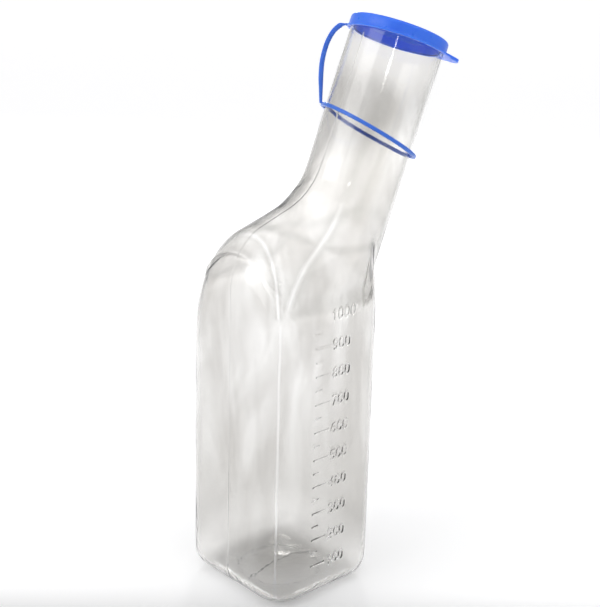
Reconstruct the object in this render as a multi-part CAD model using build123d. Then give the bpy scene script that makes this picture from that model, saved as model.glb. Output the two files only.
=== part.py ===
from build123d import *
import math
import os

# Male urinal bottle with a tethered lid. Millimetres, +Z up.
# The neck leans towards +X, the volume scale stands on the -Y wall.
# All dimensions are measured from the centre of the base; the finished parts are moved by
# SHIFT_X so that the origin is at the bottom centre of the whole object's bounding box.

SHIFT_X = -34.2

# ---- bottle ----
BODY_X = 80.0              # body depth, front to back
BODY_Y = 85.0              # body width
CORNER_R = 19.5            # vertical body corners
BASE_R = 13.0              # rounding between walls and base
WALL = 1.2                 # body wall
PUSH_UP_R = 23.5           # radius of the dished centre of the base
PUSH_UP_DEPTH = 4.5

NECK_TILT = 22.5           # neck axis from vertical, towards +X
NECK_POINT = (43.0, 0.0, 214.6)   # a point on the neck axis, where s = 0
NECK_R = 27.1
NECK_BORE_R = 25.5
FINISH_R = 26.5            # slightly smaller outside under the lid
MOUTH_S = 101.4            # mouth, measured along the neck axis
LIP_ROUND = 0.4

BREAK_Z = 175.0            # where the side walls turn into the shoulder
RIDGE_Z = 219.0            # ridge of the shoulder above the origin
RIDGE_SLOPE = 0.345        # rise of the ridge towards the neck
SHOULDER_BLEND = 13.0      # softness of the shoulder edges
NECK_BLEND_BACK = 14.0     # softness of the neck root on the shoulder side
NECK_BLEND_FRONT = 5.0     # and on the side that the neck leans to

LOFT_START = -91.0         # first and last shoulder section along the neck axis
LOFT_END = 22.0

# ---- volume scale ----
SCALE_X = -15.3            # left end of the graduation lines
FIRST_LINE_Z = 23.0        # 100 ml line
MAJOR_LEN = 11.0
MINOR_LEN = 5.2
LINE_HEIGHT = 1.1
RELIEF = 0.5
RELIEF_GAP = 0.04  # keeps the marks clear of the shell they are moulded on
DIGIT_W = 3.0
DIGIT_H = 5.4
DIGIT_STROKE = 0.8
DIGIT_STEP = 4.6           # from one digit to the next
DIGIT_SLANT = 0.12
DIGIT_GAP = 1.6            # between a line and its number
# strokes of each digit in a box one wide and one high
DIGITS = {
    "0": [[(.3, 0), (.7, 0), (1, .2), (1, .8), (.7, 1), (.3, 1), (0, .8), (0, .2), (.3, 0)]],
    "1": [[(.15, .75), (.55, 1), (.55, 0)]],
    "2": [[(0, .78), (.25, 1), (.75, 1), (1, .8), (1, .62), (0, 0), (1, 0)]],
    "3": [[(0, .9), (.25, 1), (.75, 1), (1, .8), (.8, .54), (.35, .54)],
          [(.8, .54), (1, .25), (.75, 0), (.25, 0), (0, .12)]],
    "4": [[(.75, 0), (.75, 1), (0, .3), (1, .3)]],
    "5": [[(.95, 1), (.1, 1), (.05, .55), (.7, .6), (1, .4), (1, .2), (.7, 0), (0, .05)]],
    "6": [[(.85, 1), (.3, .9), (0, .5), (0, .2), (.3, 0), (.7, 0), (1, .2), (1, .4),
           (.7, .58), (.3, .58), (0, .4)]],
    "7": [[(0, 1), (1, 1), (.35, 0)]],
    "8": [[(.3, .54), (.05, .75), (.3, 1), (.7, 1), (.95, .75), (.7, .54), (.3, .54),
           (0, .27), (.3, 0), (.7, 0), (1, .27), (.7, .54)]],
    "9": [[(.15, 0), (.7, .1), (1, .5), (1, .8), (.7, 1), (.3, 1), (0, .8), (0, .6),
           (.3, .42), (.7, .42), (1, .6)]],
}

# ---- lid, strap and ring: one soft moulding, turned to this side of the neck ----
TETHER_TURN = 135.0        # direction of the strap, from the leaning side of the neck
LID_RIM_S = 96.0           # lower rim of the lid along the neck axis
LID_R = 28.6
LID_BORE_R = 27.15
LID_HEIGHT = 7.6
LID_TOP = 1.6
LID_ROUND = 1.9
FLANGE_R = 29.3
FLANGE_T = 1.0
TAB_TIP_AT = 31.6
TAB_TIP_R = 5.0
SEAL_R = 23.8
SEAL_W = 1.2
SEAL_DEPTH = 1.2

HINGE_U = 30.3             # lid hinge: distance from the neck axis
HINGE_S = 96.3             # and height along it
KNUCKLE_R = 0.8
STRAP_T = 1.7
STRAP_W = 3.6
STRAP_PATH = [(30.3, 96.3), (33.1, 94.6), (35.4, 90.6), (36.7, 85.0), (36.9, 79.0),
              (36.2, 72.0), (34.4, 64.5), (32.2, 57.5), (30.2, 50.6)]

RING_R = 28.6
RING_W = 2.1
RING_H = 2.2
RING_TILT = 12.0
RING_U = -0.3
RING_S = 43.9

tilt = math.radians(NECK_TILT)
N = Vector(math.sin(tilt), 0, math.cos(tilt))
E = Vector(math.cos(tilt), 0, -math.sin(tilt))
Y = Vector(0, 1, 0)
P0 = Vector(*NECK_POINT)
turn = math.radians(TETHER_TURN)
D = E * math.cos(turn) + Y * math.sin(turn)
M = N.cross(D)


def neck_plane(s):
    """Plane square to the neck axis at height s along it."""
    return Plane(origin=P0 + N * s, x_dir=E, z_dir=N)


def tether_plane():
    """Plane of the strap: local x points out along the strap side, local y up the neck."""
    return Plane(origin=P0, x_dir=D, z_dir=D.cross(N))


# ---- bottle skin as one smooth field, sampled in sections for the shoulder ----

def smooth_max(a, b, k):
    h = max(k - abs(a - b), 0.0) / k
    return max(a, b) + h * h * k / 4


def prism_distance(x, y):
    qx = abs(x) - (BODY_X / 2 - CORNER_R)
    qy = abs(y) - (BODY_Y / 2 - CORNER_R)
    return math.hypot(max(qx, 0), max(qy, 0)) + min(max(qx, qy), 0) - CORNER_R


def roof_distance(x, y, z):
    """Arched roof: level along the side walls, its ridge rising towards the neck."""
    ridge = RIDGE_Z + RIDGE_SLOPE * x
    share = min(abs(y) / (BODY_Y / 2), 1.15)
    arch = ridge - (ridge - BREAK_Z) * share ** 2.2
    steep = (ridge - BREAK_Z) * 2.2 * share ** 1.2 / (BODY_Y / 2)
    return (z - arch) / math.sqrt(1 + steep * steep + RIDGE_SLOPE ** 2)


def skin_distance(p, wall, neck_wall):
    """Signed distance from the outside of the bottle, plus the wall to go inwards."""
    body = smooth_max(prism_distance(p.X, p.Y), roof_distance(p.X, p.Y, p.Z), SHOULDER_BLEND)
    q = p - P0
    neck = (q - N * q.dot(N)).length - NECK_R
    back = min(max(0.5 - q.dot(E) / (2 * NECK_R), 0), 1)
    blend = NECK_BLEND_FRONT + (NECK_BLEND_BACK - NECK_BLEND_FRONT) * back
    return -smooth_max(-(body + wall), -(neck + neck_wall), blend)


def section_centre(s):
    """Moves from the body centre line to the neck axis."""
    to_body = -(P0.X + N.X * s) / E.X
    t = min(max((s + 70) / 72, 0), 1)
    return P0 + N * s + E * (to_body * (1 - t * t * (3 - 2 * t)))


def skin_point(s, angle, wall, neck_wall):
    start = section_centre(s)
    way = E * math.cos(angle) + Y * math.sin(angle)
    low, high = 3.0, 80.0
    for _ in range(40):
        mid = (low + high) / 2
        if skin_distance(start + way * mid, wall, neck_wall) > 0:
            high = mid
        else:
            low = mid
    return start + way * low


def section_angles(wall):
    """Angles of the eight seams that run up from the body corners."""
    a = math.atan2(BODY_Y / 2 - CORNER_R, (BODY_X / 2 - wall) / E.X)
    b = math.atan2(BODY_Y / 2 - wall, (BODY_X / 2 - CORNER_R) / E.X)
    turnings = [a, b, math.pi - b, math.pi - a]
    return turnings + [t + math.pi for t in turnings]


def skin_edge(s, a0, a1, wall, neck_wall, count=9):
    step = (a1 - a0) / (count - 1)
    points = [skin_point(s, a0 + step * i, wall, neck_wall) for i in range(count)]
    small = 0.01
    tangents = []
    for a in (a0, a1):
        before = skin_point(s, a - small, wall, neck_wall)
        after = skin_point(s, a + small, wall, neck_wall)
        tangents.append((after - before).normalized())
    return Edge.make_spline(points, tangents=tangents)


def skin_section(s, wall, neck_wall):
    seams = section_angles(wall)
    pairs = zip(seams, seams[1:] + [seams[0] + 2 * math.pi])
    return Wire([skin_edge(s, a0, a1, wall, neck_wall) for a0, a1 in pairs])


def body_section(s, wall):
    """Exact outline of the straight body, cut square to the neck axis."""
    plane = Plane(origin=section_centre(s), x_dir=E, z_dir=N)
    ax, by = (BODY_X / 2 - CORNER_R) / E.X, BODY_Y / 2 - CORNER_R
    rx, ry = (CORNER_R - wall) / E.X, CORNER_R - wall
    edges = []
    corners = [(ax, by, 0), (-ax, by, 90), (-ax, -by, 180), (ax, -by, 270)]
    for i, (cx, cy, start) in enumerate(corners):
        arc = EllipticalCenterArc((cx, cy), rx, ry, start_angle=start, arc_size=90)
        nx, ny, nstart = corners[(i + 1) % 4]
        nxt = EllipticalCenterArc((nx, ny), rx, ry, start_angle=nstart, arc_size=90)
        edges += [arc, Line(arc @ 1, nxt @ 0)]
    return Wire([plane.from_local_coords(e) for e in edges])


def neck_section(s, radius, wall):
    centre = P0 + N * s
    seams = section_angles(wall)
    edges = []
    for a0, a1 in zip(seams, seams[1:] + [seams[0] + 2 * math.pi]):
        at = [centre + (E * math.cos(a) + Y * math.sin(a)) * radius
              for a in (a0, (a0 + a1) / 2, a1)]
        edges.append(Edge.make_three_point_arc(*at))
    return Wire(edges)


def shoulder(wall, neck_wall):
    wires = [body_section(LOFT_START + k, wall) for k in (0, 3, 6)]
    s = LOFT_START + 12
    while s < LOFT_END - 8:
        wires.append(skin_section(s, wall, neck_wall))
        s += 6.0
    radius = NECK_R - neck_wall
    wires += [neck_section(LOFT_END - 4, radius, wall), neck_section(LOFT_END, radius, wall)]
    return Solid.make_loft(wires)


def straight_body(wall):
    """Body from the base up to the first shoulder section."""
    size = (BODY_X - 2 * wall, BODY_Y - 2 * wall)
    block = extrude(Plane.XY.offset(wall) * RectangleRounded(*size, CORNER_R - wall), 190)
    block = split(block, bisect_by=neck_plane(LOFT_START), keep=Keep.BOTTOM)
    base = block.faces().sort_by(Axis.Z)[0]
    block = fillet(base.edges(), BASE_R - wall)
    dome_r = (PUSH_UP_R ** 2 + PUSH_UP_DEPTH ** 2) / (2 * PUSH_UP_DEPTH)
    return block - Pos(0, 0, PUSH_UP_DEPTH - dome_r) * Sphere(dome_r + wall)


def neck_tube(radius, start, end):
    return extrude(neck_plane(start) * Circle(radius), end - start)


def make_bottle():
    neck_wall = NECK_R - NECK_BORE_R
    neck = neck_tube(NECK_R, LOFT_END, LID_RIM_S - 0.6)
    finish = neck_tube(FINISH_R, LID_RIM_S - 0.6, MOUTH_S)
    finish = fillet(finish.faces().sort_by(Axis(tuple(P0), tuple(N)))[-1].edges(), LIP_ROUND)
    outside = straight_body(0) + shoulder(0, 0) + neck + finish
    inside = straight_body(WALL) + shoulder(WALL, neck_wall)
    inside += neck_tube(NECK_BORE_R, LOFT_END, MOUTH_S + 5)
    return outside - inside


# ---- volume scale ----

def line_pitch():
    """Height of 100 ml inside the straight body."""
    x, y, r = BODY_X - 2 * WALL, BODY_Y - 2 * WALL, CORNER_R - WALL
    return 100000 / (x * y - (4 - math.pi) * r * r)


def digit_face(digit):
    faces = []
    for stroke in DIGITS[digit]:
        points = [((u + DIGIT_SLANT * v) * DIGIT_W, (v - 0.5) * DIGIT_H) for u, v in stroke]
        for a, b in zip(points, points[1:]):
            faces.append(trace(Line(a, b), DIGIT_STROKE))
        faces += [Pos(*p) * Circle(DIGIT_STROKE / 2) for p in points]
    face = faces[0]
    for more in faces[1:]:
        face += more
    return face


def wall_y(x, z):
    """Depth of the scale wall at x, z; it leans in where the shoulder starts."""
    low, high = -BODY_Y / 2 - 1, -BODY_Y / 2 + 8
    for _ in range(40):
        mid = (low + high) / 2
        if skin_distance(Vector(x, mid, z), 0, 0) > 0:
            low = mid
        else:
            high = mid
    return high


def mark_plane(x, z):
    """Plane just off the scale wall at x, z, local x along the wall and local y up it."""
    along = Vector(1, wall_y(x + 0.5, z) - wall_y(x - 0.5, z), 0).normalized()
    up = Vector(0, wall_y(x, z + 0.5) - wall_y(x, z - 0.5), 1)
    out = along.cross(up).normalized()
    return Plane(origin=Vector(x, wall_y(x, z), z) + out * RELIEF_GAP, x_dir=along, z_dir=out)


def make_volume_scale():
    marks = []
    for i in range(19):
        z = FIRST_LINE_Z + line_pitch() * i / 2
        length = MINOR_LEN if i % 2 else MAJOR_LEN
        if i < 18:
            plane = mark_plane(SCALE_X + length / 2, z)
            marks.append(plane * Rectangle(length, LINE_HEIGHT))
        if i % 2 == 0:
            start = SCALE_X + MAJOR_LEN + DIGIT_GAP
            for k, digit in enumerate(str(100 + 50 * i)):
                plane = mark_plane(start + DIGIT_STEP * k + DIGIT_W / 2, z)
                marks.append(plane * Pos(-DIGIT_W / 2, 0) * digit_face(digit))
    return Compound([s for m in marks for s in extrude(m, RELIEF).solids()])


# ---- lid, strap and ring ----

def lid_outline():
    """Flange drawn out to the thumb tab, opposite the strap."""
    disc = Circle(FLANGE_R)
    tip = Pos(-TAB_TIP_AT, 0) * Circle(TAB_TIP_R)
    cos_a = (FLANGE_R - TAB_TIP_R) / TAB_TIP_AT
    sin_a = math.sqrt(1 - cos_a ** 2)
    web = Polyline((-FLANGE_R * cos_a, FLANGE_R * sin_a),
                   (-TAB_TIP_AT - TAB_TIP_R * cos_a, TAB_TIP_R * sin_a),
                   (-TAB_TIP_AT - TAB_TIP_R * cos_a, -TAB_TIP_R * sin_a),
                   (-FLANGE_R * cos_a, -FLANGE_R * sin_a), close=True)
    return disc + tip + make_face(web)


def make_lid():
    up = Axis(tuple(P0), tuple(N))
    rim = Plane(origin=P0 + N * LID_RIM_S, x_dir=D, z_dir=N)
    cap = extrude(rim * Circle(LID_R), LID_HEIGHT)
    cap = fillet(cap.faces().sort_by(up)[-1].edges(), LID_ROUND)
    cap += extrude(rim * lid_outline(), FLANGE_T)
    cap -= extrude(rim * Circle(LID_BORE_R), LID_HEIGHT - LID_TOP)
    seal = rim.offset(LID_HEIGHT - LID_TOP - SEAL_DEPTH) * (Circle(SEAL_R) - Circle(SEAL_R - SEAL_W))
    cap += extrude(seal, SEAL_DEPTH)
    knuckle = tether_plane() * Pos(HINGE_U, HINGE_S) * Circle(KNUCKLE_R + 0.3)
    return cap - extrude(knuckle, STRAP_W / 2 + 0.4, both=True)


def make_neck_ring():
    across = math.radians(RING_TILT)
    up = N * math.cos(across) - D * math.sin(across)
    plane = Plane(origin=P0 + N * RING_S + D * RING_U, x_dir=M, z_dir=up).offset(-RING_H / 2)
    ring = extrude(plane * (Circle(RING_R + RING_W) - Circle(RING_R)), RING_H)
    return fillet(ring.edges(), 0.6)


def make_strap(ring):
    path = Spline(*STRAP_PATH)
    count = 24
    sides = []
    for sign in (1, -1):
        points = []
        for i in range(count + 1):
            t = path % (i / count)
            normal = Vector(-t.Y, t.X) * (sign * STRAP_T / 2)
            points.append(path @ (i / count) + normal)
        sides.append(Spline(*points))
    ends = [Line(sides[0] @ 0, sides[1] @ 0), Line(sides[0] @ 1, sides[1] @ 1)]
    band = tether_plane() * make_face([*sides, *ends])
    strap = extrude(band, STRAP_W / 2, both=True)
    knuckle = tether_plane() * Pos(HINGE_U, HINGE_S) * Circle(KNUCKLE_R)
    strap += extrude(knuckle, STRAP_W / 2, both=True)
    return strap - ring


def main():
    os.makedirs("parts", exist_ok=True)
    ring = make_neck_ring()
    nodes = {
        "bottle": make_bottle(),
        "volume_scale": make_volume_scale(),
        "lid": make_lid(),
        "strap": make_strap(ring),
        "neck_ring": ring,
    }
    for name, shape in nodes.items():
        shape = Pos(SHIFT_X, 0, 0) * shape
        export_step(shape, "parts/" + name + ".step")
        box = shape.bounding_box()
        print(name, len(shape.solids()), "solids", round(shape.volume), "mm3", box.min, box.max)


main()
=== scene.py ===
import math

import bmesh
import bpy
import numpy as np
from mathutils import Matrix, Vector


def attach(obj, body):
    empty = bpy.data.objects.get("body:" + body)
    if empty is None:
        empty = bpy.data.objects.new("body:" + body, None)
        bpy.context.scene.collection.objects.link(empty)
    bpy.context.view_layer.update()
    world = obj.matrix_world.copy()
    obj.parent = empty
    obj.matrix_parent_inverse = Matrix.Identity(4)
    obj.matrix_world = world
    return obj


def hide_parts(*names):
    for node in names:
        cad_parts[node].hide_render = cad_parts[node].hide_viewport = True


# Clear urinal bottle with a blue lid, strap and ring. The pieces are given in millimetres from
# the centre of the base, moved by SHIFT_X and scaled to metres when a mesh is made. Floor,
# lights and camera are in metres.
SHIFT_X = -34.2

# Body: size, corner and foot radii, wall, dish of the base, height where the shoulder starts.
BODY_X, BODY_Y, CORNER_R, BASE_R = 80.0, 85.0, 19.5, 13.0
WALL = 1.2
PUSH_UP_R, PUSH_UP_DEPTH = 23.5, 4.5
WALL_TOP = 176.0
# Neck: its tilt, a point on its axis, its radii, and distances along the axis from that point.
TILT = math.radians(22.5)
P0 = np.array([43.0, 0.0, 214.6])
NECK_R, NECK_BORE_R, FINISH_R = 27.1, 25.5, 26.5
MOUTH_S, LID_RIM_S, NECK_FOOT = 101.4, 96.0, -91.0
# Shoulder: foot and crown of the arched roof, its rise towards the neck, and the blends.
BREAK_Z, RIDGE_Z, RIDGE_SLOPE = 175.0, 219.0, 0.345
SHOULDER_BLEND, END_BLEND, BLEND_BACK, BLEND_FRONT = 13.0, 13.0, 14.0, 5.0

# Raised scale: MARKS half steps of 50 ml from 100 to 1000; the last has a number but no line.
SCALE_X, FIRST_LINE_Z, MARKS = -15.3, 23.0, 19
MAJOR_LEN, MINOR_LEN, LINE_HALF = 11.0, 5.2, 0.55
DIGIT_W, DIGIT_H, DIGIT_HALF, DIGIT_STEP = 3.0, 5.4, 0.4, 4.6
DIGIT_SLANT, DIGIT_GAP = 0.12, 1.6
SCALE_WIDTH, FINE_STEP = 31.4, 0.25
RELIEF, RELIEF_EDGE = 0.5, 0.22
# Raised lines of the moulding: seam, crease of the shoulder and line down the near corner.
SEAM_HEIGHT, SEAM_WIDTH = 0.2, 0.3
CREASE_HEIGHT, CREASE_WIDTH = 0.8, 2.2
EDGE_HEIGHT, EDGE_WIDTH = 0.2, 0.4
# Painted shade and highlight lines of the folds, drawn by the material: height of the foot of the
# shoulder, and place of the end arch.
FOLD_Z = 170.5
ARCH_X, ARCH_BOW = -25, 11 / 36 ** 2

FLOOR_GREY = 0.74
# The floor's white wedge runs along one direction and widens across it; with the shifts,
# both distances are measured from its tip, in metres.
WEDGE_ALONG, WEDGE_ACROSS = (0.681, 0.732, 0), (0.732, -0.681, 0)
WEDGE_AHEAD, WEDGE_ASIDE = 0.738, 0.017

# Directions: along the neck, across it in the plane of symmetry, sideways, from the neck
# towards the strap (TURN is its angle around the neck), and across the strap.
N = np.array([math.sin(TILT), 0.0, math.cos(TILT)])
E = np.array([math.cos(TILT), 0.0, -math.sin(TILT)])
Y = np.array([0.0, 1.0, 0.0])
TURN = math.radians(135.0)
D = E * math.cos(TURN) + Y * math.sin(TURN)
M = np.cross(N, D)

# Pen strokes of the numbers, in a box one unit wide and high.
DIGITS = {
    "0": [[(.3, 0), (.7, 0), (1, .2), (1, .8), (.7, 1), (.3, 1), (0, .8), (0, .2), (.3, 0)]],
    "1": [[(.15, .75), (.55, 1), (.55, 0)]],
    "2": [[(0, .78), (.25, 1), (.75, 1), (1, .8), (1, .62), (0, 0), (1, 0)]],
    "3": [[(0, .9), (.25, 1), (.75, 1), (1, .8), (.8, .54), (.35, .54)],
          [(.8, .54), (1, .25), (.75, 0), (.25, 0), (0, .12)]],
    "4": [[(.75, 0), (.75, 1), (0, .3), (1, .3)]],
    "5": [[(.95, 1), (.1, 1), (.05, .55), (.7, .6), (1, .4), (1, .2), (.7, 0), (0, .05)]],
    "6": [[(.85, 1), (.3, .9), (0, .5), (0, .2), (.3, 0), (.7, 0), (1, .2), (1, .4),
           (.7, .58), (.3, .58), (0, .4)]],
    "7": [[(0, 1), (1, 1), (.35, 0)]],
    "8": [[(.3, .54), (.05, .75), (.3, 1), (.7, 1), (.95, .75), (.7, .54), (.3, .54),
           (0, .27), (.3, 0), (.7, 0), (1, .27), (.7, .54)]],
    "9": [[(.15, 0), (.7, .1), (1, .5), (1, .8), (.7, 1), (.3, 1), (0, .8), (0, .6),
           (.3, .42), (.7, .42), (1, .6)]],
}

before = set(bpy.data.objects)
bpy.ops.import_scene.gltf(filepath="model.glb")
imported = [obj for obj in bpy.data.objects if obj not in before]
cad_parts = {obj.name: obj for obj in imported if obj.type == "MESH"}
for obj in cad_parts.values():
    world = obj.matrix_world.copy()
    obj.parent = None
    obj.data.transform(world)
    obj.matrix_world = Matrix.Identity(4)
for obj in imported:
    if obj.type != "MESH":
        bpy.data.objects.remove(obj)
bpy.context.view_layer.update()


# ---------- mesh helpers ----------

def to_metres(points):
    """From millimetres around the middle of the base to the frame's metres."""
    out = np.array(points, float) + np.array([SHIFT_X, 0, 0])
    return out * 0.001


def make_piece(name, points, faces, body, node_names, material):
    """A smooth mesh that rides a body and stands for the named CAD nodes."""
    mesh = bpy.data.meshes.new(name)
    mesh.from_pydata([tuple(p) for p in to_metres(points)], [], faces)
    mesh.validate()
    mesh.polygons.foreach_set("use_smooth", [True] * len(mesh.polygons))
    work = bmesh.new()
    work.from_mesh(mesh)
    bmesh.ops.recalc_face_normals(work, faces=work.faces)
    work.to_mesh(mesh)
    work.free()
    piece = bpy.data.objects.new(name, mesh)
    bpy.context.scene.collection.objects.link(piece)
    mesh.materials.append(material)
    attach(piece, body)
    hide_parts(*node_names)


def ring_faces(rings, count, close_start=False, close_end=False, loop=False):
    """Quads between successive rings of count points; a closed end is a fan to one point."""
    faces = []
    steps = rings if loop else rings - 1
    for k in range(steps):
        a, b = k * count, ((k + 1) % rings) * count
        for i in range(count):
            j = (i + 1) % count
            faces.append((a + i, a + j, b + j, b + i))
    last = rings * count
    if close_start:
        faces += [(last, (i + 1) % count, i) for i in range(count)]
        last += 1
    if close_end:
        a = (rings - 1) * count
        faces += [(last, a + i, a + (i + 1) % count) for i in range(count)]
    return faces


# ---------- bottle ----------

def smooth_max(a, b, k):
    """The larger of two values, rounded over where they are within k of each other."""
    h = np.maximum(k - np.abs(a - b), 0) / k
    return np.maximum(a, b) + h * h * k / 4


def prism_distance(x, y):
    """Signed distance from the upright walls with their round corners."""
    qx = np.abs(x) - (BODY_X / 2 - CORNER_R)
    qy = np.abs(y) - (BODY_Y / 2 - CORNER_R)
    outside = np.hypot(np.maximum(qx, 0), np.maximum(qy, 0))
    return outside + np.minimum(np.maximum(qx, qy), 0) - CORNER_R


def roof_distance(p):
    """Signed distance, nearly, from the arched roof of the shoulder."""
    x, y, z = p[..., 0], p[..., 1], p[..., 2]
    ridge = RIDGE_Z + RIDGE_SLOPE * x
    share = np.minimum(np.abs(y) / (BODY_Y / 2), 1.15)
    arch = ridge - (ridge - BREAK_Z) * share ** 2.2
    steep = (ridge - BREAK_Z) * 2.2 * share ** 1.2 / (BODY_Y / 2)
    return (z - arch) / np.sqrt(1 + steep ** 2 + RIDGE_SLOPE ** 2)


def crease_distance(p):
    """How far a point of the skin is from the line where walls and roof meet; large elsewhere."""
    gap = prism_distance(p[:, 0], p[:, 1]) - roof_distance(p)
    q = p - P0
    neck = np.linalg.norm(q - np.outer(q @ N, N), axis=1) - NECK_R
    return np.abs(gap) + np.maximum(8 - neck, 0)


def skin_distance(p, wall, neck_wall):
    """Signed distance, nearly, from the bottle's skin, set in by the two wall thicknesses."""
    end = np.clip((-2 - p[..., 0]) / 34, 0, 1)
    rounding = SHOULDER_BLEND + END_BLEND * end * end * (3 - 2 * end)
    body = smooth_max(prism_distance(p[..., 0], p[..., 1]), roof_distance(p), rounding)
    q = p - P0
    up = q @ N
    neck = np.linalg.norm(q - up[..., None] * N, axis=-1) - NECK_R
    neck = np.where(up > NECK_FOOT, neck, 50.0)
    back = np.clip(0.5 - (q @ E) / (2 * NECK_R), 0, 1) ** 2
    blend = BLEND_FRONT + (BLEND_BACK - BLEND_FRONT) * back
    return -smooth_max(-(body + wall), -(neck + neck_wall), blend)


def find_ring(centre, ways, distance):
    """Points where rays from centre leave the solid whose signed distance is given."""
    low = np.full(len(ways), 2.0)
    high = np.full(len(ways), 90.0)
    for _ in range(36):
        mid = (low + high) / 2
        out = distance(centre + ways * mid[:, None]) > 0
        high = np.where(out, mid, high)
        low = np.where(out, low, mid)
    return centre + ways * low[:, None]


def skin_angles():
    """Directions around the bottle: even, finer at the seam, the near corner and the scale."""
    angles = [math.radians(a) for a in np.arange(-180, 180, 1.5)]
    across = np.arange(SCALE_X - 1.0, SCALE_X + SCALE_WIDTH, FINE_STEP)
    low, high = (math.atan2(-BODY_Y / 2, x) for x in (across[0], across[-1]))
    angles = [a for a in angles if not low - 0.01 < a < high + 0.01]
    angles += [math.atan2(-BODY_Y / 2, x) for x in across]
    near = [0.2, 0.4, 0.6, 0.8, 1.1]
    angles += [math.radians(o * s) for o in near for s in (1, -1)]
    angles += [math.radians(180 - o) for o in near] + [math.radians(-180 + o) for o in near]
    angles += [math.radians(-135 + o * s) for o in [0] + near + [1.5] for s in (1, -1)]
    return np.array(sorted(set(np.round(angles, 6))))


ANGLES = skin_angles()
FLAT_WAYS = np.stack([np.cos(ANGLES), np.sin(ANGLES), 0 * ANGLES], 1)
NECK_WAYS = np.outer(np.cos(ANGLES), E) + np.outer(np.sin(ANGLES), Y)


def line_pitch():
    """Height of the body that holds 100 ml, in millimetres."""
    x, y, r = BODY_X - 2 * WALL, BODY_Y - 2 * WALL, CORNER_R - WALL
    return 100000 / (x * y - (4 - math.pi) * r * r)


def mark_height(i):
    return FIRST_LINE_Z + line_pitch() * i / 2


def scale_strokes():
    """Line pieces (x0, z0, x1, z1, half width) of the raised lines and numbers."""
    strokes = []
    for i in range(MARKS):
        z = mark_height(i)
        length = MINOR_LEN if i % 2 else MAJOR_LEN
        if i < MARKS - 1:
            strokes.append((SCALE_X + LINE_HALF, z, SCALE_X + length - LINE_HALF, z, LINE_HALF))
        if i % 2 == 0:
            start = SCALE_X + MAJOR_LEN + DIGIT_GAP
            for k, digit in enumerate(str(100 + 50 * i)):
                for line in DIGITS[digit]:
                    at = [(start + DIGIT_STEP * k + (u + DIGIT_SLANT * v) * DIGIT_W,
                           z + (v - 0.5) * DIGIT_H) for u, v in line]
                    strokes += [(*a, *b, DIGIT_HALF) for a, b in zip(at, at[1:])]
    return np.array(strokes)


STROKES = scale_strokes()


def relief_height(x, z):
    """How far the scale stands out of the wall at x, z."""
    height = np.zeros_like(x)
    for x0, z0, x1, z1, half in STROKES:
        near = np.abs(z - (z0 + z1) / 2) < abs(z1 - z0) / 2 + 1.5
        if not near.any():
            continue
        px, pz = x[near] - x0, z[near] - z0
        dx, dz = x1 - x0, z1 - z0
        t = np.clip((px * dx + pz * dz) / max(dx * dx + dz * dz, 1e-9), 0, 1)
        gap = np.hypot(px - t * dx, pz - t * dz)
        s = np.clip((half + RELIEF_EDGE - gap) / (2 * RELIEF_EDGE), 0, 1)
        height[near] = np.maximum(height[near], RELIEF * s * s * (3 - 2 * s))
    return height


def ripple(p, size):
    """Slow unevenness of a blown wall."""
    x, y, z = p[:, 0], p[:, 1], p[:, 2]
    wave = np.sin(x / 17 + z / 41 + 1.1) * np.sin(y / 15 - z / 53)
    wave += 0.6 * np.sin(z / 12 + x / 31 + y / 23) * np.sin(x / 11 + y / 9 + 0.7)
    wave += 0.35 * np.sin(z / 6.1 - x / 13) * np.sin(y / 7.3 + x / 8.7 + z / 37)
    return wave * size


def outline(inset):
    """Ring of the body's rounded square, set in from the walls."""
    return find_ring(np.zeros(3), FLAT_WAYS,
                     lambda p: prism_distance(p[:, 0], p[:, 1]) + inset)


def base_rings(wall):
    """From the middle of the dished base out to the foot of the walls."""
    dome_r = (PUSH_UP_R ** 2 + PUSH_UP_DEPTH ** 2) / (2 * PUSH_UP_DEPTH)
    centre_z = PUSH_UP_DEPTH - dome_r
    edge = math.sqrt((dome_r + wall) ** 2 - (wall - centre_z) ** 2)
    rings = []
    for r in list(np.linspace(1.5, edge - 1.2, 15)) + [edge - 0.8, edge - 0.5, edge - 0.3]:
        z = centre_z + math.sqrt((dome_r + wall) ** 2 - r * r)
        rings.append(FLAT_WAYS * r + [0, 0, z])
    rim = outline(BASE_R)
    circle = FLAT_WAYS * edge
    for out, up in ((0.1, 0.3), (0.35, 0.08)):
        rings.append(FLAT_WAYS * (edge - 0.3 + out) + [0, 0, wall + up * (wall == 0)])
    for t in (0.1, 0.3, 0.55, 0.8, 0.96):
        rings.append(circle * (1 - t) + rim * t + [0, 0, wall])
    for phi in np.radians(np.arange(0, 88, 7.5)):
        inset = BASE_R - (BASE_R - wall) * math.sin(phi)
        rings.append(outline(inset) + [0, 0, BASE_R - (BASE_R - wall) * math.cos(phi)])
    return rings


def base_seam(ring):
    """Pinch-off line across the outside of the base."""
    lift = 0.35 * np.exp(-(ring[:, 1] / 0.45) ** 2)
    dish = ring[:, 2] > 0.2
    under = np.hypot(ring[:, 0], ring[:, 1]) < PUSH_UP_R
    side = np.sign(ring[:, 0]) * (~under) * (ring[:, 2] > 1.0)
    return ring + np.stack([lift * side * 0.6, 0 * lift, -lift * dish * under], 1)


def wall_heights(fine):
    """Heights of the rings up the walls, closer together at the scale where fine is true."""
    heights = set(np.arange(BASE_R, 150, 3.0)) | set(np.arange(150, WALL_TOP, 1.5))
    if fine:
        for i in range(MARKS):
            z = mark_height(i)
            half = 0.9 if i % 2 else DIGIT_H / 2 + 0.7
            heights |= set(np.arange(z - half, z + half + 0.01, FINE_STEP))
    kept = [BASE_R]
    for z in sorted(heights):
        if z - kept[-1] > 0.2:
            kept.append(z)
    return [z for z in kept if z <= WALL_TOP]


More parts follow.
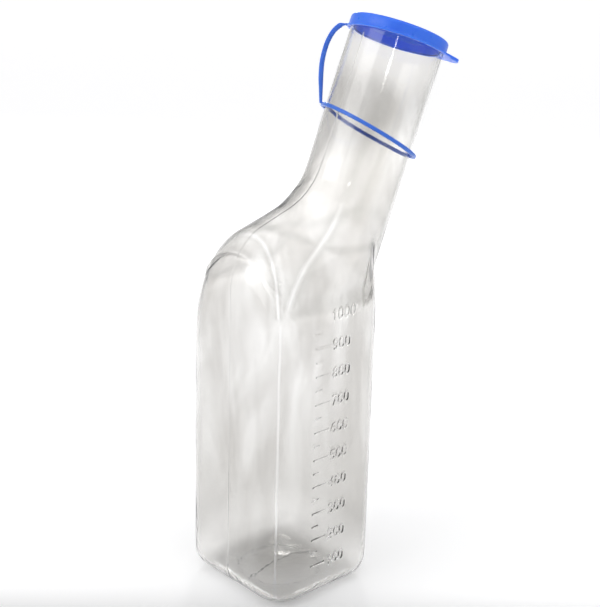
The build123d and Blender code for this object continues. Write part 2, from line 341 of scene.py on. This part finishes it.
def rise_rings(wall, neck_wall, fine):
    """Walls, shoulder and neck, up to just below the finish."""
    def inside(p):
        return skin_distance(p, wall, neck_wall)

    rings = []
    for z in wall_heights(fine):
        rings.append(find_ring(np.array([0, 0, z]), FLAT_WAYS, inside))
    start, goal = np.array([0.0, 0.0, WALL_TOP]), P0 + N * 8
    for u in np.linspace(0.02, 1, 80):
        ease = u * u * (3 - 2 * u)
        lean = TILT * ease
        right = np.array([math.cos(lean), 0, -math.sin(lean)])
        ways = np.outer(np.cos(ANGLES), right) + np.outer(np.sin(ANGLES), Y)
        centre = start + (goal - start) * np.array([0.25 * u + 0.75 * ease, 0, u])
        rings.append(find_ring(centre, ways, inside))
    for s in np.arange(11, 94.9, 3.0):
        rings.append(find_ring(P0 + N * s, NECK_WAYS, inside))
    return rings


def outer_detail(ring):
    """Adds seam, creases, the raised scale and a little unevenness to an outside ring."""
    out = ring - ring.mean(0)
    out /= np.linalg.norm(out, axis=1)[:, None]
    side = np.where(out[:, 0] < 0, 1.0, 0.35)
    seam = SEAM_HEIGHT * side * np.exp(-(ring[:, 1] / SEAM_WIDTH) ** 2)
    crease = CREASE_HEIGHT * np.exp(-(crease_distance(ring) / CREASE_WIDTH) ** 2)
    low = np.clip((BREAK_Z - 6 - ring[:, 2]) / 14, 0, 1) * np.clip((ring[:, 2] - 10) / 10, 0, 1)
    corner = np.exp(-((ring[:, 0] - ring[:, 1]) / (1.41 * EDGE_WIDTH)) ** 2) * (ring[:, 1] < 0)
    edge = EDGE_HEIGHT * corner * low
    result = ring + out * (seam + crease + edge + ripple(ring, 0.05))[:, None]
    on_wall = (ring[:, 1] < -BODY_Y / 2 + 4) & (np.abs(ring[:, 0]) < 21)
    lift = relief_height(ring[:, 0], ring[:, 2]) * on_wall
    return result - np.outer(lift, Y)


def make_bottle(material):
    """Outside up to the mouth, then the inside back down to the dished base."""
    neck_wall = NECK_R - NECK_BORE_R
    outside = [base_seam(r) for r in base_rings(0.0)]
    outside += [outer_detail(r) for r in rise_rings(0.0, 0.0, True)]
    for s, r in ((94.6, NECK_R), (96.2, NECK_R), (96.4, NECK_R - 0.06), (96.6, FINISH_R + 0.3),
                 (96.8, FINISH_R + 0.06), (97.0, FINISH_R), (97.4, FINISH_R), (98.2, FINISH_R),
                 (100.6, FINISH_R), (101.0, FINISH_R), (101.25, FINISH_R - 0.12),
                 (MOUTH_S, FINISH_R - 0.35), (MOUTH_S, NECK_BORE_R + 0.3),
                 (101.3, NECK_BORE_R + 0.1), (101.1, NECK_BORE_R), (100.6, NECK_BORE_R)):
        outside.append(P0 + N * s + NECK_WAYS * r)
    inside = rise_rings(WALL, neck_wall, False)
    uneven = [r + (r - r.mean(0)) * (ripple(r[::-1] * 0.8, 0.0035)[:, None]) for r in inside]
    rings = outside + (base_rings(WALL) + uneven)[::-1]
    points = np.concatenate(rings)
    top = PUSH_UP_DEPTH
    points = np.concatenate([points, [[0, 0, top]], [[0, 0, top + WALL]]])
    faces = ring_faces(len(rings), len(ANGLES), close_start=True, close_end=True)
    make_piece("bottle_shell", points, faces, "bottle", ["bottle", "volume_scale"],
               material)


# ---------- lid ----------

LID_R, LID_BORE_R, LID_HEIGHT, LID_UNDER = 28.6, 27.15, 7.6, 6.0
FLANGE_R, TAB_AT, TAB_R, EAR_REACH = 29.3, 30.1, 6.5, 30.1
TAB_LIP, LID_MIDDLE = 0.9, 7.42
# Angles, from the lid's back, of the sides of the short ear that the strap joins.
EAR_STEPS = (-0.075, -0.066, -0.063, -0.061, -0.058, -0.035,
             0.035, 0.058, 0.061, 0.063, 0.066, 0.075)
EAR_HALF = 0.062
TAB_STEPS = (0, .6, 1.2, 1.8, 2.4, 3, 3.6, 4.5, 6, 8, 10.5, 13.5, 17, 21, 25, 29, 33, 36, 38.5, 40)


def flange_radius(beta):
    """Edge of the flange at an angle beta from the middle of the thumb tab, 0 to pi."""
    ear = math.pi - abs(beta)
    if ear < EAR_HALF:
        return EAR_REACH / math.cos(ear)
    alpha = math.acos((FLANGE_R - TAB_R) / TAB_AT)
    tip = math.atan2(TAB_R * math.sin(alpha), TAB_AT + TAB_R * math.cos(alpha))
    if beta > alpha:
        return FLANGE_R
    if beta > tip:
        return FLANGE_R / math.cos(beta - alpha)
    return TAB_AT * math.cos(beta) + math.sqrt(TAB_R ** 2 - (TAB_AT * math.sin(beta)) ** 2)


def lid_profile(edge):
    """Radius and height above the rim around the lid's section: outside and top, underside."""
    lip = TAB_LIP * min(max((edge - FLANGE_R - 0.9) / 4, 0), 1)
    points = [(LID_BORE_R + 0.25, 0.0), (28.2, -0.2 * lip), (edge - 0.4, -lip),
              (edge - 0.12, 0.12 - lip), (edge, 0.4 - lip), (edge, 0.65), (edge - 0.12, 0.9),
              (edge - 0.4, 1.0), (LID_R + 0.28, 1.0), (LID_R + 0.08, 1.08), (LID_R, 1.3),
              (LID_R, 3.2), (LID_R, 5.5)]
    for a in np.radians(np.arange(10, 91, 10)):
        points.append((LID_R - 1.9 + 1.9 * math.cos(a), LID_HEIGHT - 1.9 + 1.9 * math.sin(a)))
    points += [(26.1, 7.6), (25.7, 7.55), (25.3, 7.35), (24.9, 7.15), (24.5, 7.08), (23.6, 7.06),
               (18, 7.12), (10, 7.18), (5, 7.2), (2.2, 7.21), (1.8, 7.28), (1.4, 7.4),
               (0.9, LID_MIDDLE)]
    under = [(4, LID_UNDER), (12, LID_UNDER), (22.5, LID_UNDER), (22.6, 5.9), (22.65, 5.0),
             (22.85, 4.82), (23.2, 4.8), (23.55, 4.82), (23.75, 5.0), (23.8, 5.9),
             (23.9, LID_UNDER), (26.85, LID_UNDER), (27.1, 5.9), (LID_BORE_R, 5.7),
             (LID_BORE_R, 3.0), (LID_BORE_R, 0.25)]
    return points, under


def make_lid(material):
    betas = list(np.radians(np.arange(42, 320, 3.0))) + [math.pi + o for o in EAR_STEPS]
    betas += [math.radians(b * s) % (2 * math.pi) for b in TAB_STEPS for s in (1, -1)]
    betas = sorted(set(np.round(betas, 6)))
    rim = P0 + N * LID_RIM_S
    columns = []
    for beta in betas:
        wrapped = min(beta, 2 * math.pi - beta)
        way = -D * math.cos(beta) - M * math.sin(beta)
        top, under = lid_profile(flange_radius(wrapped))
        columns.append([rim + way * r + N * v for r, v in top + under])
    columns = np.array(columns).transpose(1, 0, 2)
    rings, count = columns.shape[0], columns.shape[1]
    split = len(lid_profile(FLANGE_R)[0])
    order = list(range(split, rings)) + list(range(split))
    points = columns[order].reshape(-1, 3)
    points = np.concatenate([points, [rim + N * LID_UNDER], [rim + N * LID_MIDDLE]])
    faces = ring_faces(rings, count, close_start=True, close_end=True)
    make_piece("lid_cap", points, faces, "lid", ["lid"], material)


# ---------- strap and ring ----------

# Distance out from the neck's axis along D, and along the axis.
STRAP_PATH = [(29.3, 96.5), (30.3, 96.3), (33.1, 94.6), (35.4, 90.6), (36.7, 85.0), (36.9, 79.0),
              (36.2, 72.0), (34.4, 64.5), (32.2, 57.5), (30.6, 52.4), (29.9, 50.4)]
STRAP_W, STRAP_T = 4.1, 2.8
RING_R, RING_W, RING_H = 28.6, 2.1, 2.2
RING_TILT, RING_U, RING_S = math.radians(12.0), -0.3, 43.9
RING_STEPS, SECTION_STEPS = 160, 20


def smooth_path(points, per_span):
    """Catmull-Rom curve through the points."""
    pts = np.array([points[0]] + list(points) + [points[-1]], float)
    out = []
    for k in range(1, len(pts) - 2):
        a, b, c, d = pts[k - 1:k + 3]
        for t in np.linspace(0, 1, per_span, endpoint=False):
            out.append(0.5 * (2 * b + (c - a) * t + (2 * a - 5 * b + 4 * c - d) * t * t
                              + (3 * b - 3 * c + d - a) * t ** 3))
    out.append(pts[-2])
    return np.array(out)


def rounded_section(width, height, power, count):
    """Offsets around a superellipse."""
    a = np.linspace(0, 2 * math.pi, count, endpoint=False)
    c, s = np.cos(a), np.sin(a)
    return np.stack([np.sign(c) * np.abs(c) ** (2 / power) * width / 2,
                     np.sign(s) * np.abs(s) ** (2 / power) * height / 2], 1)


def make_strap(material):
    """Curved band, thinner where it joins the lid and towards the ring."""
    count = 24
    path = smooth_path(STRAP_PATH, 8)
    along = np.gradient(path, axis=0)
    along /= np.linalg.norm(along, axis=1)[:, None]
    travelled = np.concatenate([[0], np.cumsum(np.linalg.norm(np.diff(path, axis=0), axis=1))])
    total = travelled[-1]
    points = []
    for p, t, s in zip(path, along, travelled):
        thin = 0.36 + 0.64 * min(max((s - 1.4) / 2.5, 0), 1)
        foot = 0.6 + 0.4 * min(max((total - s - 0.3) / 14, 0), 1)
        section = rounded_section(STRAP_W, STRAP_T * min(thin, foot), 4.5, count)
        flat = D * -t[1] + N * t[0]
        centre = P0 + D * p[0] + N * p[1]
        points.append(centre + np.outer(section[:, 0], M) + np.outer(section[:, 1], flat))
    rings = len(points)
    ends = [points[0].mean(0), points[-1].mean(0)]
    points = np.concatenate([np.concatenate(points), ends])
    faces = ring_faces(rings, count, close_start=True, close_end=True)
    make_piece("lid_strap", points, faces, "tether", ["strap"], material)


def make_neck_ring(material):
    """Loose ring around the neck, a little higher on the strap's side."""
    up = N * math.cos(RING_TILT) - D * math.sin(RING_TILT)
    out = D * math.cos(RING_TILT) + N * math.sin(RING_TILT)
    centre = P0 + N * RING_S + D * RING_U
    section = rounded_section(RING_W, RING_H, 3.2, SECTION_STEPS)
    points = []
    for a in np.linspace(0, 2 * math.pi, RING_STEPS, endpoint=False):
        way = out * math.cos(a) + M * math.sin(a)
        middle = centre + way * (RING_R + RING_W / 2)
        points.append(middle + np.outer(section[:, 0], way) + np.outer(section[:, 1], up))
    faces = ring_faces(RING_STEPS, SECTION_STEPS, loop=True)
    make_piece("neck_collar", np.concatenate(points), faces, "tether", ["neck_ring"],
               material)


# ---------- materials ----------

# Colours of the clear walls. Light through the bottle crosses four surfaces, which shows each
# colour about squared.
PATCH_GREY, PATCH_PALE = (0.78, 0.77, 0.755, 1), (0.96, 0.957, 0.95, 1)
# The wall grey is also the painted shade at the neck's root and along its streak.
WALL_GREY, WALL_CLEAR = (0.72, 0.71, 0.69, 1), (0.995, 0.99, 0.98, 1)
# Painted shade of the shoulder's folds.
PAINTED_FOLD_SHADE = (0.74, 0.735, 0.72, 1)
# Planes of the painted shade and highlight lines at the hip fold, the near corner and the
# neck's painted streak, and the slope at the neck's root. The first, second and fourth give
# millimetres straight from metres.
HIP_WAY, HIP_SHIFT = (272, -962, 0), -24.8
CORNER_WAY = (707, -707, 0)
STREAK_WAY, STREAK_SHIFT = (0.651, -0.709, -0.27), -5
ROOT_WAY, ROOT_SHIFT = (-270, 0, 780), -152


def new_material(name):
    material = bpy.data.materials.new(name)
    material.use_nodes = True
    nodes = material.node_tree.nodes
    return material, nodes, material.node_tree.links, nodes["Principled BSDF"]


def noise(nodes, links, coords, scale, detail=2.0):
    node = nodes.new("ShaderNodeTexNoise")
    node.inputs["Scale"].default_value = scale
    node.inputs["Detail"].default_value = detail
    links.new(coords, node.inputs["Vector"])
    return node


def spread(nodes, links, value, low, high):
    """A noise value widened to reach from low to high."""
    node = nodes.new("ShaderNodeMapRange")
    node.inputs["From Min"].default_value = 0.3
    node.inputs["From Max"].default_value = 0.7
    node.inputs["To Min"].default_value = low
    node.inputs["To Max"].default_value = high
    links.new(value, node.inputs["Value"])
    return node.outputs["Result"]


def node_makers(nodes, links, coords):
    """Makers of nodes: a calculation, a soft step from 0 to 1, a distance along a direction."""
    def calc(operation, first, second=0):
        node = nodes.new("ShaderNodeMath")
        node.operation = operation
        for socket, value in zip(node.inputs, (first, second)):
            if isinstance(value, (int, float)):
                socket.default_value = value
            else:
                links.new(value, socket)
        return node.outputs["Value"]

    def step(value, start, end):
        node = nodes.new("ShaderNodeMapRange")
        node.interpolation_type = "SMOOTHSTEP"
        node.inputs["From Min"].default_value = start
        node.inputs["From Max"].default_value = end
        links.new(value, node.inputs["Value"])
        return node.outputs["Result"]

    def far(way, shift=0):
        node = nodes.new("ShaderNodeVectorMath")
        node.operation = "DOT_PRODUCT"
        node.inputs[1].default_value = way
        links.new(coords, node.inputs[0])
        return calc("ADD", node.outputs["Value"], shift)

    return calc, step, far


def mixed(nodes, links, share, below, above):
    """Blend from one colour to another by a share from 0 to 1."""
    node = nodes.new("ShaderNodeMix")
    node.data_type = "RGBA"
    links.new(share, node.inputs[0])
    links.new(below, node.inputs[6])
    node.inputs[7].default_value = above
    return node.outputs[2]


def painted_fold_shade_and_highlights(nodes, links, coords):
    """Shares from 0 to 1: painted shade along the shoulder's folds, and painted highlight lines
    along their crests.
    """
    calc, step, far = node_makers(nodes, links, coords)
    across, sideways, height = far((1000, 0, 0), -SHIFT_X), far((0, -1000, 0)), far((0, 0, 1000))
    side = calc("ABSOLUTE", sideways)
    front = step(sideways, 15, 20)
    above = step(height, FOLD_Z - 1, FOLD_Z + 3)

    # The arch over the shoulder's end, with painted shade along it and a painted highlight line on
    # it.
    bow = calc("MULTIPLY", calc("MULTIPLY", side, side), ARCH_BOW)
    arch = calc("ABSOLUTE", calc("ADD", calc("SUBTRACT", across, ARCH_X), bow))

    # The line where the upright walls end, drawn as a painted highlight, and painted shade on the
    # wall above it on the scale's side.
    line = calc("ABSOLUTE", calc("SUBTRACT", height, FOLD_Z))
    line = calc("MULTIPLY", step(line, 1, 0.3), 0.3)
    wall = calc("MULTIPLY", step(sideways, 34, 37), above)
    painted_dim_patch = calc("MULTIPLY", wall, step(height, FOLD_Z + 17, FOLD_Z + 2))

    # The hip from the near corner towards the neck, with painted shade and a painted highlight
    # line, and a painted highlight line down that corner.
    hip = calc("ABSOLUTE", far(HIP_WAY, -0.272 * SHIFT_X + HIP_SHIFT))
    roof = calc("MULTIPLY", front, step(across, 26, 14))
    roof = calc("MULTIPLY", step(height, FOLD_Z, FOLD_Z + 8), roof)
    corner = calc("ABSOLUTE", far(CORNER_WAY, -0.707 * SHIFT_X))
    below = calc("MULTIPLY", step(height, FOLD_Z, FOLD_Z - 5), front)

    # The root of the neck, with painted shade along it: where the distance from the neck grows
    # with height over a slope.
    centre = Vector(to_metres(P0))
    along = far(tuple(N), -centre.dot(Vector(N)))
    size = nodes.new("ShaderNodeVectorMath")
    size.operation = "DISTANCE"
    size.inputs[1].default_value = centre
    links.new(coords, size.inputs[0])
    square = calc("POWER", size.outputs["Value"], 2)
    square = calc("SUBTRACT", square, calc("MULTIPLY", along, along))
    neck = calc("SUBTRACT", calc("MULTIPLY", calc("SQRT", square), 1000), NECK_R)
    root = calc("ABSOLUTE", calc("SUBTRACT", neck, far(ROOT_WAY, ROOT_SHIFT)))

    # Painted shade along the folds; painted white highlight lines along the crests.
    painted_shade = calc("MAXIMUM", calc("MULTIPLY", step(arch, 5, 0), above), step(root, 4, 0))
    painted_shade = calc("MAXIMUM", painted_shade, painted_dim_patch)
    painted_shade = calc("MAXIMUM", painted_shade, calc("MULTIPLY", step(hip, 6, 0), roof))
    painted_highlight = calc("MAXIMUM", calc("MULTIPLY", step(arch, 1.1, 0.3), above),
                 calc("MULTIPLY", step(corner, 0.9, 0.3), below))
    painted_highlight = calc("MAXIMUM", painted_highlight, calc("MULTIPLY", line, step(side, 40, 42)))
    painted_highlight = calc("MAXIMUM", painted_highlight, calc("MULTIPLY", step(hip, 1.1, 0.3), roof))
    return painted_shade, painted_highlight


def wall_greys_and_painted_shade(nodes, links, coords, colour):
    """Greyer walls low down, painted shade at the neck's root and along a streak; clear base and
    mouth.
    """
    calc, step, far = node_makers(nodes, links, coords)
    centre = Vector(to_metres(P0))
    height = far((0, 0, 1000))
    along = far(tuple(1000 * N), -1000 * centre.dot(Vector(N)))
    foot = calc("MULTIPLY", step(height, 120, 45), 0.55)
    # Painted shade: darker at the root of the neck.
    root = calc("MULTIPLY", step(along, 55, 5), step(height, 205, 222))
    way = Vector(STREAK_WAY)
    painted_streak = calc("ABSOLUTE", far(tuple(1000 * way), -1000 * centre.dot(way) + STREAK_SHIFT))
    near = calc("MULTIPLY", step(far((0, -1000, 0)), 4, 12), step(along, -16, -4))
    painted_streak = calc("MULTIPLY", step(painted_streak, 14, 4), near)
    # Painted shade at the neck's root and along a dark streak on its near side.
    root = calc("MAXIMUM", calc("MULTIPLY", root, 0.35), painted_streak)
    root = calc("MULTIPLY", root, step(along, 85, 45))
    grey = mixed(nodes, links, calc("MAXIMUM", foot, root), colour, WALL_GREY)
    ends = calc("MAXIMUM", step(height, 36, 10), step(along, 62, 84))
    return mixed(nodes, links, ends, grey, WALL_CLEAR)


def clear_plastic():
    """Clear walls with soft grey patches, painted shade along the folds and a streak, painted
    highlight lines along the crests, and greyer edges.
    """
    material, nodes, links, shader = new_material("clear_plastic")
    coords = nodes.new("ShaderNodeTexCoord").outputs["Object"]
    calc, step, far = node_makers(nodes, links, coords)
    shader.inputs["Transmission Weight"].default_value = 1.0
    shader.inputs["IOR"].default_value = 1.47
    stretch = nodes.new("ShaderNodeMapping")
    stretch.inputs["Scale"].default_value = (1.0, 1.0, 0.35)
    links.new(coords, stretch.inputs["Vector"])
    tall = stretch.outputs["Vector"]
    tint = nodes.new("ShaderNodeValToRGB")
    tint.color_ramp.elements[0].position = 0.42
    tint.color_ramp.elements[0].color = PATCH_GREY
    tint.color_ramp.elements[1].position = 0.6
    tint.color_ramp.elements[1].color = PATCH_PALE
    patches = noise(nodes, links, tall, 26, 3)
    patches.inputs["Distortion"].default_value = 0.8
    links.new(patches.outputs["Fac"], tint.inputs["Fac"])
    painted_shade, painted_highlight = painted_fold_shade_and_highlights(nodes, links, coords)
    even = wall_greys_and_painted_shade(nodes, links, coords, tint.outputs["Color"])
    # Painted shade along the shoulder's folds and the root of the neck, then painted highlight
    # lines in white.
    shaded = mixed(nodes, links, painted_shade, even, PAINTED_FOLD_SHADE)
    links.new(mixed(nodes, links, painted_highlight, shaded, (1, 1, 1, 1)), shader.inputs["Base Color"])
    haze = noise(nodes, links, coords, 60, 4).outputs["Fac"]
    links.new(spread(nodes, links, haze, 0.02, 0.09), shader.inputs["Roughness"])
    bump = nodes.new("ShaderNodeBump")
    bump.inputs["Strength"].default_value = 0.1
    bump.inputs["Distance"].default_value = 0.0006
    waves = noise(nodes, links, tall, 95, 3).outputs["Fac"]
    dimples = noise(nodes, links, coords, 260, 2).outputs["Fac"]
    low = calc("MULTIPLY", step(far((0, 0, 1000)), 50, 8), 3)
    relief = calc("ADD", waves, calc("MULTIPLY", dimples, low))
    links.new(relief, bump.inputs["Height"])
    links.new(bump.outputs["Normal"], shader.inputs["Normal"])
    absorb = nodes.new("ShaderNodeVolumeAbsorption")
    absorb.inputs["Color"].default_value = (0.5, 0.49, 0.46, 1)
    absorb.inputs["Density"].default_value = 45.0
    links.new(absorb.outputs["Volume"], nodes["Material Output"].inputs["Volume"])
    return material


def blue_plastic(name, dark, pale, glow):
    """Coloured soft plastic; a slight glow stands in for light passing through it."""
    material, nodes, links, shader = new_material(name)
    coords = nodes.new("ShaderNodeTexCoord").outputs["Object"]
    tint = nodes.new("ShaderNodeValToRGB")
    tint.color_ramp.elements[0].color = (*dark, 1)
    tint.color_ramp.elements[1].color = (*pale, 1)
    links.new(noise(nodes, links, coords, 90, 3).outputs["Fac"], tint.inputs["Fac"])
    links.new(tint.outputs["Color"], shader.inputs["Base Color"])
    gloss = noise(nodes, links, coords, 300, 4).outputs["Fac"]
    links.new(spread(nodes, links, gloss, 0.26, 0.42), shader.inputs["Roughness"])
    shader.inputs["IOR"].default_value = 1.5
    shader.inputs["Subsurface Weight"].default_value = 0.9
    shader.inputs["Subsurface Radius"].default_value = (0.35, 0.6, 1.0)
    shader.inputs["Subsurface Scale"].default_value = 0.005
    links.new(tint.outputs["Color"], shader.inputs["Emission Color"])
    shader.inputs["Emission Strength"].default_value = glow
    bump = nodes.new("ShaderNodeBump")
    bump.inputs["Strength"].default_value = 0.15
    bump.inputs["Distance"].default_value = 0.0002
    links.new(noise(nodes, links, coords, 700, 3).outputs["Fac"], bump.inputs["Height"])
    links.new(bump.outputs["Normal"], shader.inputs["Normal"])
    return material


def floor_material():
    """White where it lies behind the bottle, soft grey to the sides and in front."""
    material, nodes, links, shader = new_material("pale_floor")
    coords = nodes.new("ShaderNodeTexCoord").outputs["Object"]
    calc, step, far = node_makers(nodes, links, coords)
    ahead = far(WEDGE_ALONG, WEDGE_AHEAD)
    aside = calc("ABSOLUTE", far(WEDGE_ACROSS, WEDGE_ASIDE))
    slope = calc("DIVIDE", aside, calc("MAXIMUM", ahead, 0.01))
    lit = calc("MULTIPLY", step(slope, 0.6, 0.27), step(ahead, 0.64, 0.70))
    grain = spread(nodes, links, noise(nodes, links, coords, 2).outputs["Fac"], -0.03, 0.03)
    tint = nodes.new("ShaderNodeValToRGB")
    tint.color_ramp.elements[0].color = (FLOOR_GREY, FLOOR_GREY, FLOOR_GREY, 1)
    tint.color_ramp.elements[1].color = (0.96, 0.96, 0.96, 1)
    links.new(calc("ADD", lit, grain), tint.inputs["Fac"])
    links.new(tint.outputs["Color"], shader.inputs["Base Color"])
    shader.inputs["Roughness"].default_value = 0.8
    shader.inputs["Emission Color"].default_value = (1, 1, 1, 1)
    glow = calc("ADD", calc("MULTIPLY", ahead, 0.07), 0.18)
    strength = calc("ADD", calc("MULTIPLY", lit, glow), 0.06)
    links.new(strength, shader.inputs["Emission Strength"])
    return material


# ---------- stage, light and camera ----------

def make_floor():
    mesh = bpy.data.meshes.new("floor")
    half, drop = 6.0, -0.0004
    corners = [(-half, -half, drop), (half, -half, drop), (half, half, drop), (-half, half, drop)]
    mesh.from_pydata(corners, [], [(0, 1, 2, 3)])
    floor = bpy.data.objects.new("floor", mesh)
    bpy.context.scene.collection.objects.link(floor)
    mesh.materials.append(floor_material())


def place_light(data, at, way):
    light = bpy.data.objects.new(data.name, data)
    bpy.context.scene.collection.objects.link(light)
    light.location = at
    light.rotation_euler = way.to_track_quat("-Z", "Y").to_euler()


def make_light(name, at, size, power, aim=(0, 0, 0.16)):
    data = bpy.data.lights.new(name, "AREA")
    data.shape = "RECTANGLE"
    data.size, data.size_y = size
    data.energy = power
    place_light(data, at, Vector(aim) - Vector(at))


def make_sun():
    data = bpy.data.lights.new("soft_sun", "SUN")
    data.energy = 0.75
    data.angle = math.radians(80)
    place_light(data, (0, 0, 0), Vector((0.5, -0.35, -1)))


def make_world():
    """Pale around the horizon, greyer overhead, so that clear walls show against white."""
    world = bpy.data.worlds.new("studio")
    bpy.context.scene.world = world
    world.use_nodes = True
    nodes, links = world.node_tree.nodes, world.node_tree.links
    parts = nodes.new("ShaderNodeSeparateXYZ")
    links.new(nodes.new("ShaderNodeTexCoord").outputs["Generated"], parts.inputs["Vector"])
    ramp = nodes.new("ShaderNodeValToRGB")
    stops = ramp.color_ramp.elements
    stops[0].position, stops[0].color = 0.0, (0.72, 0.72, 0.72, 1)
    stops[1].position, stops[1].color = 0.85, (0.3, 0.3, 0.31, 1)
    middle = stops.new(0.3)
    middle.color = (0.42, 0.42, 0.42, 1)
    links.new(parts.outputs["Z"], ramp.inputs["Fac"])
    links.new(ramp.outputs["Color"], nodes["Background"].inputs["Color"])
    nodes["Background"].inputs["Strength"].default_value = 1.0


def make_camera():
    """A little above the bottle, turned towards its near corner and rolled slightly."""
    data = bpy.data.cameras.new("camera")
    data.sensor_fit = "HORIZONTAL"
    data.sensor_width = 36.0
    data.lens = 81.53
    camera = bpy.data.objects.new("camera", data)
    bpy.context.scene.collection.objects.link(camera)
    azimuth, height, roll = (math.radians(a) for a in (42.94, 18.96, 1.51))
    back = Vector((-math.sin(azimuth) * math.cos(height), -math.cos(azimuth) * math.cos(height),
                   math.sin(height)))
    right = Vector((math.cos(azimuth), -math.sin(azimuth), 0))
    up = back.cross(right)
    right, up = (right * math.cos(roll) + up * math.sin(roll),
                 up * math.cos(roll) - right * math.sin(roll))
    target = Vector((-0.0314, -0.00895, 0.1667))
    pose = Matrix((right, up, back)).transposed().to_4x4()
    pose.translation = target + back * 0.7511
    camera.matrix_world = pose
    bpy.context.scene.camera = camera


clear = clear_plastic()
lid_blue = blue_plastic("lid_blue", (0.022, 0.135, 0.74), (0.05, 0.2, 0.9), 0.2)
band_blue = blue_plastic("band_blue", (0.022, 0.11, 0.46), (0.07, 0.2, 0.7), 0.2)
make_bottle(clear)
make_lid(lid_blue)
make_strap(band_blue)
make_neck_ring(band_blue)
make_floor()
make_world()
make_sun()
make_light("window", (-1.4, 0.3, 0.9), (1.1, 1.1), 6)
make_light("softbox", (0.35, -0.8, 1.5), (1.6, 1.6), 7)
make_light("spark", (-0.68, -0.81, 0.80), (0.06, 0.1), 0.2, (0.048, 0, 0.305))
make_light("glint", (0.78, 0.84, 0.42), (0.16, 0.12), 2.4, (-0.034, 0, 0.005))
make_camera()
bpy.context.scene.view_settings.view_transform = "Standard"
bpy.context.scene.cycles.max_bounces = 24
bpy.context.scene.cycles.transmission_bounces = 24
